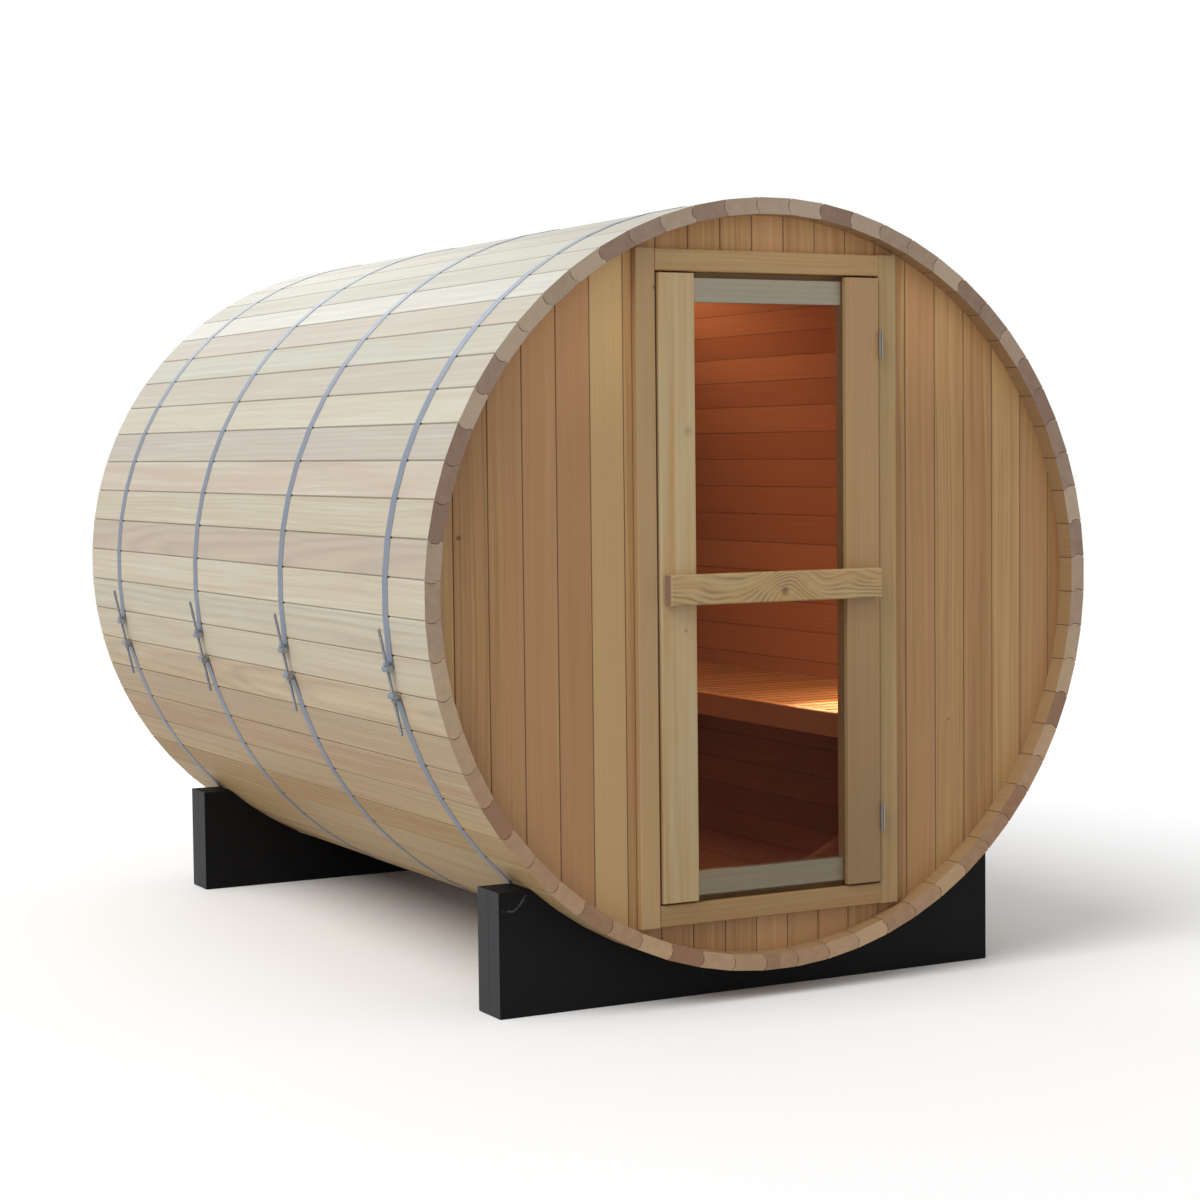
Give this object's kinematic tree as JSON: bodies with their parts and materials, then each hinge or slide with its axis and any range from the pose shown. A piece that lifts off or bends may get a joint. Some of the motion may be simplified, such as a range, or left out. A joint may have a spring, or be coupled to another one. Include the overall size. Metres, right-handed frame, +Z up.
{
  "type": "barrel sauna",
  "caption": "Walk-in cabin made as a lying barrel of wooden staves with steel hoops, two black cradles, a glazed hinged door and a slatted bench.",
  "frame": {"origin": "middle of the front cradle's underside, on the ground", "axes": "+X to the right seen from the front, +Y from the door to the back wall along the barrel, +Z up"},
  "size_m": [1.8231, 2.458, 1.8674],
  "materials": {
    "stave_wood": "matt, planed pale softwood",
    "wall_wood": "matt, planed warm softwood",
    "frame_wood": "matt, planed",
    "door_wood": "matt, planed pale softwood",
    "bench_wood": "matt, planed",
    "glass": "clear, polished",
    "galvanised_steel": "satin",
    "hinge_steel": "satin",
    "black_paint": "semi-matt black paint on timber"
  },
  "bodies": {
    "barrel": {"staves_top": "stave_wood", "staves_top_left": "stave_wood", "staves_left": "stave_wood", "staves_bottom_left": "stave_wood", "staves_bottom": "stave_wood", "staves_bottom_right": "stave_wood", "staves_right": "stave_wood", "staves_top_right": "stave_wood", "front_wall_left": "wall_wood", "front_wall_right": "wall_wood", "front_boards_over_door": "wall_wood", "front_boards_under_door": "wall_wood", "back_wall": "wall_wood", "door_jamb_left": "frame_wood", "door_jamb_right": "frame_wood", "door_header": "frame_wood", "door_sill": "frame_wood", "hoop_front": "galvanised_steel", "hoop_front_middle": "galvanised_steel", "hoop_back_middle": "galvanised_steel", "hoop_back": "galvanised_steel", "tensioner_rods": "galvanised_steel", "tensioner_trunnions": "galvanised_steel", "tensioner_nuts": "galvanised_steel", "cradle_front": "black_paint", "cradle_back": "black_paint", "bench_fascia": "bench_wood", "bench_slats": "bench_wood", "bench_rail_front": "bench_wood", "bench_rail_wall": "bench_wood", "frame_hinge_upper": "hinge_steel", "frame_hinge_lower": "hinge_steel"},
    "door": {"door_stile_left": "door_wood", "door_stile_right": "door_wood", "door_glass": "glass", "door_rail_top": "door_wood", "door_rail_bottom": "door_wood", "door_backing_left": "door_wood", "door_backing_right": "door_wood", "door_handle": "door_wood", "door_hinge_upper": "hinge_steel", "door_hinge_lower": "hinge_steel"}
  },
  "joints": [
    {"name": "door_swing", "type": "hinge", "parent": "barrel", "child": "door", "pos_m": [0.3025, -0.1535, 0.966], "axis": [0, 0, 1], "range_deg": [0, 110]}
  ]
}
